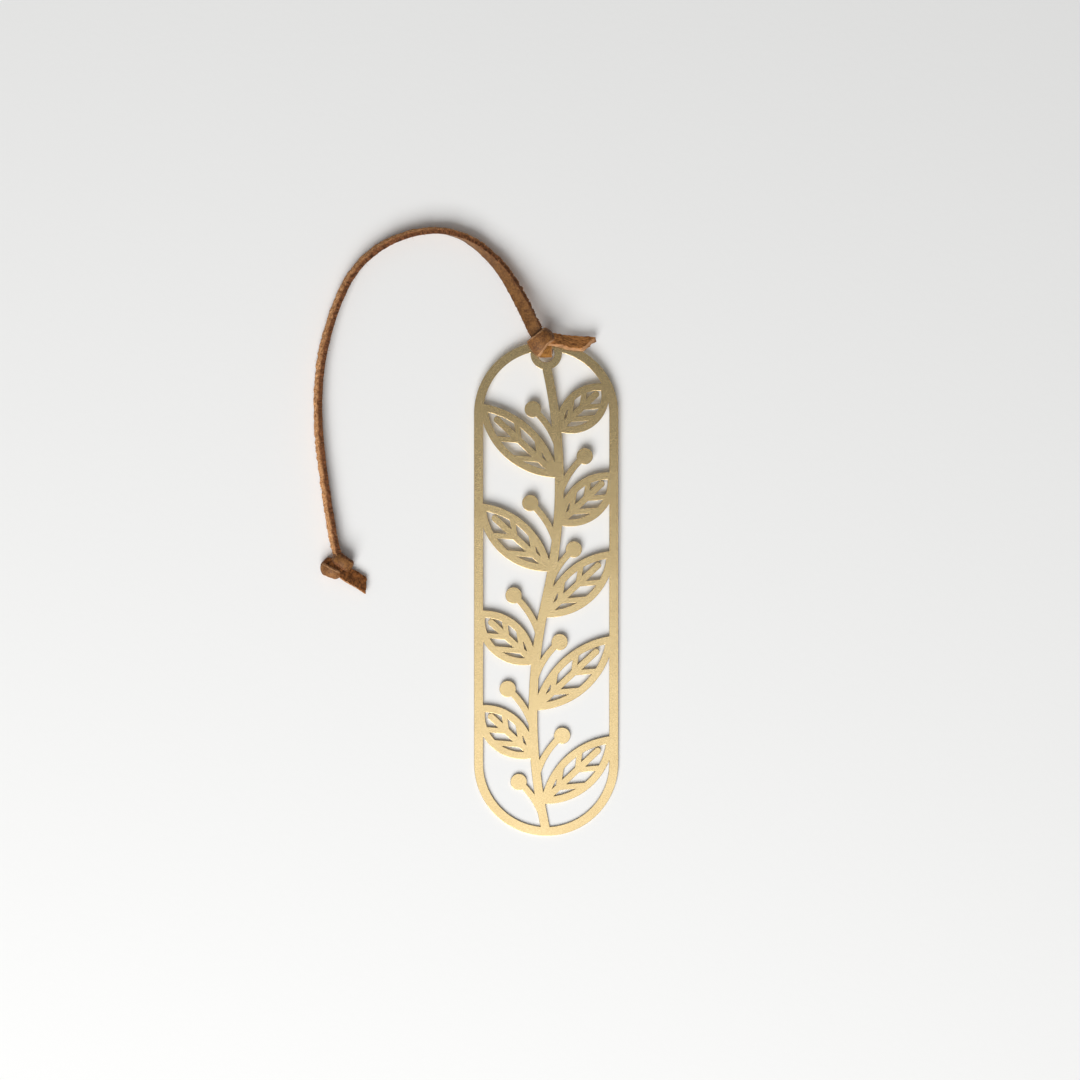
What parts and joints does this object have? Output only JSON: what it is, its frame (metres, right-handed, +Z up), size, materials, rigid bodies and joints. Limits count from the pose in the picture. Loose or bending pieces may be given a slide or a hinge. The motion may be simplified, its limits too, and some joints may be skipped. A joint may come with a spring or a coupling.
{
  "type": "bookmark",
  "caption": "Round-ended openwork brass bookmark with a leafy sprig cut through it, and a knotted leather lace through the hole at its head.",
  "frame": {"origin": "on the table under the middle of the plate, which lies face up", "axes": "+X to the right across the plate, +Y along the plate from its foot to the holed head, +Z up out of the table"},
  "size_m": [0.074, 0.148, 0.0073],
  "materials": {
    "brass": "fine satin, etched edges",
    "leather": "smooth grain side, suede flesh side, raw cut edges"
  },
  "bodies": {
    "plate": {"pierced_plate": "brass"},
    "loop": {"hole_loop": "leather"},
    "lace": {"plate_knot": "leather", "plate_knot_tail": "leather", "lace_neck": "leather", "lace_strand": "leather", "end_knot": "leather", "end_tail": "leather"}
  },
  "joints": [
    {"name": "loop_swing", "type": "hinge", "parent": "plate", "child": "loop", "pos_m": [0, 0.05699, 0.00204], "axis": [0, -0.0153, 0.9999], "range_deg": [-20, 20]},
    {"name": "lace_lift", "type": "hinge", "parent": "loop", "child": "lace", "pos_m": [0, 0.05949, 0.00208], "axis": [1, 0, 0], "range_deg": [-90, 25]}
  ]
}
